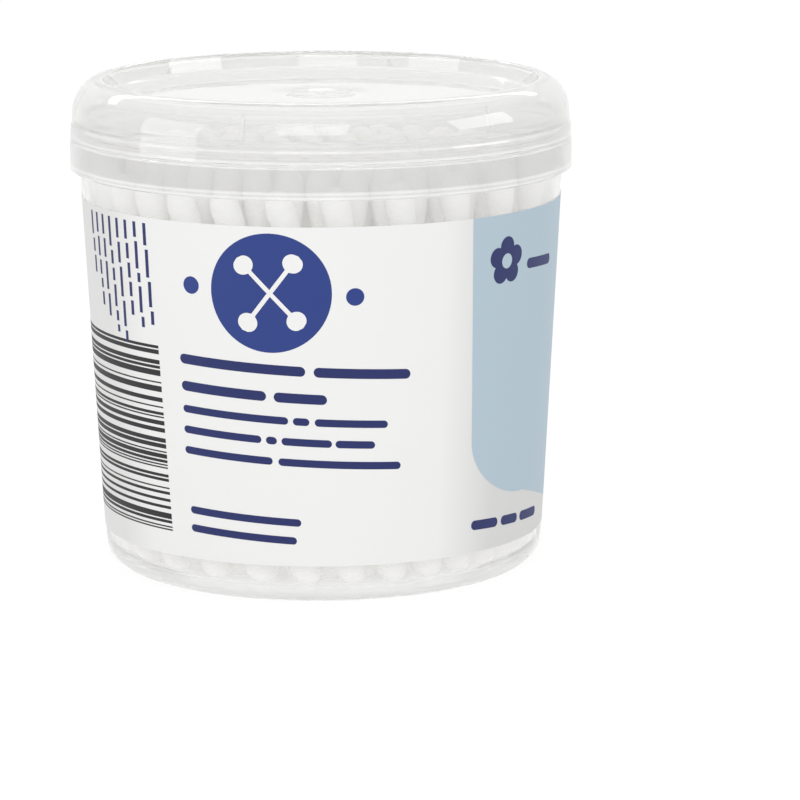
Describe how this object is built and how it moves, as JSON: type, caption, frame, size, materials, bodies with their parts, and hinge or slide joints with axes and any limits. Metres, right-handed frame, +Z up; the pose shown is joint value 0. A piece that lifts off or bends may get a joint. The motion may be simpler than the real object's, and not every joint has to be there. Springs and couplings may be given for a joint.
{
  "type": "cotton swab tub",
  "caption": "Round drafted tub with a lift-off recessed lid and a wrapped label, filled with upright double-ended cotton swabs.",
  "frame": {"origin": "middle of the tub's foot, on the surface that it stands on", "axes": "+Z up along the tub's axis; the label's printed front faces -Y and its overlap faces +Y; +X to the right seen from the front"},
  "size_m": [0.088, 0.088, 0.086],
  "materials": {
    "clear_tub": "injection-moulded clear polypropylene, slightly hazy",
    "clear_lid": "injection-moulded translucent polypropylene with a hazy panel",
    "label_film": "matt printed wrap-around label with a pale blue field and dark blue bars",
    "paper_stick": "tightly rolled white paper stick",
    "cotton": "wound bleached cotton fibre"
  },
  "bodies": {
    "tub_body": {"tub": "clear_tub", "label": "label_film", "swab_sticks_row_1": "paper_stick", "lower_cotton_tips_row_1": "cotton", "upper_cotton_tips_row_1": "cotton", "swab_sticks_row_2": "paper_stick", "lower_cotton_tips_row_2": "cotton", "upper_cotton_tips_row_2": "cotton", "swab_sticks_row_3": "paper_stick", "lower_cotton_tips_row_3": "cotton", "upper_cotton_tips_row_3": "cotton", "swab_sticks_row_4": "paper_stick", "lower_cotton_tips_row_4": "cotton", "upper_cotton_tips_row_4": "cotton", "swab_sticks_inner_rows": "paper_stick", "lower_cotton_tips_inner_rows": "cotton", "upper_cotton_tips_inner_rows": "cotton"},
    "lid_body": {"lid": "clear_lid"}
  },
  "joints": [
    {"name": "lid_lift", "type": "slide", "parent": "tub_body", "child": "lid_body", "axis": [0, 0, 1], "range_m": [0, 0.03]}
  ]
}
